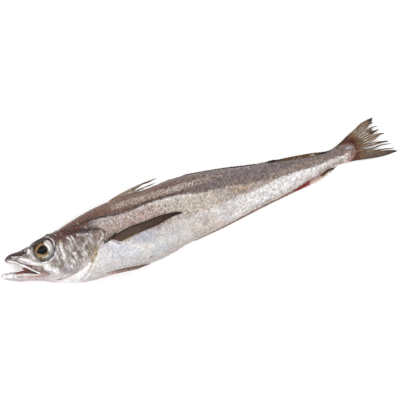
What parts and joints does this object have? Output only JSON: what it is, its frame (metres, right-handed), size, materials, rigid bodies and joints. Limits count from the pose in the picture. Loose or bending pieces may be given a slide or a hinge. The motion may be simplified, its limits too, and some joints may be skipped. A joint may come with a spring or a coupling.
{
  "type": "whole raw whiting",
  "caption": "Whole uncooked small sea fish lying on its side, head and fins on, mouth a little open, silvery flanks, brown back, big eye and a frayed forked tail.",
  "frame": {"origin": "bottom centre of the box round the fish as it lies on a table", "axes": "X runs along the fish, with its head at -X and its tail at +X; the back faces +Y; the left side faces up, +Z"},
  "size_m": [0.3406, 0.0662, 0.0398],
  "materials": {
    "skin": "wet silvery scaled skin, brown on the back and white on the belly",
    "fin": "thin brown fin membrane over fine rays",
    "eye": "clear wet eye with a pale gold iris and a dark pupil",
    "mouth": "moist pink and brown-red lining of the mouth",
    "tooth": "small translucent ivory teeth"
  },
  "bodies": {
    "root": {"whiting": "skin"}
  },
  "joints": []
}
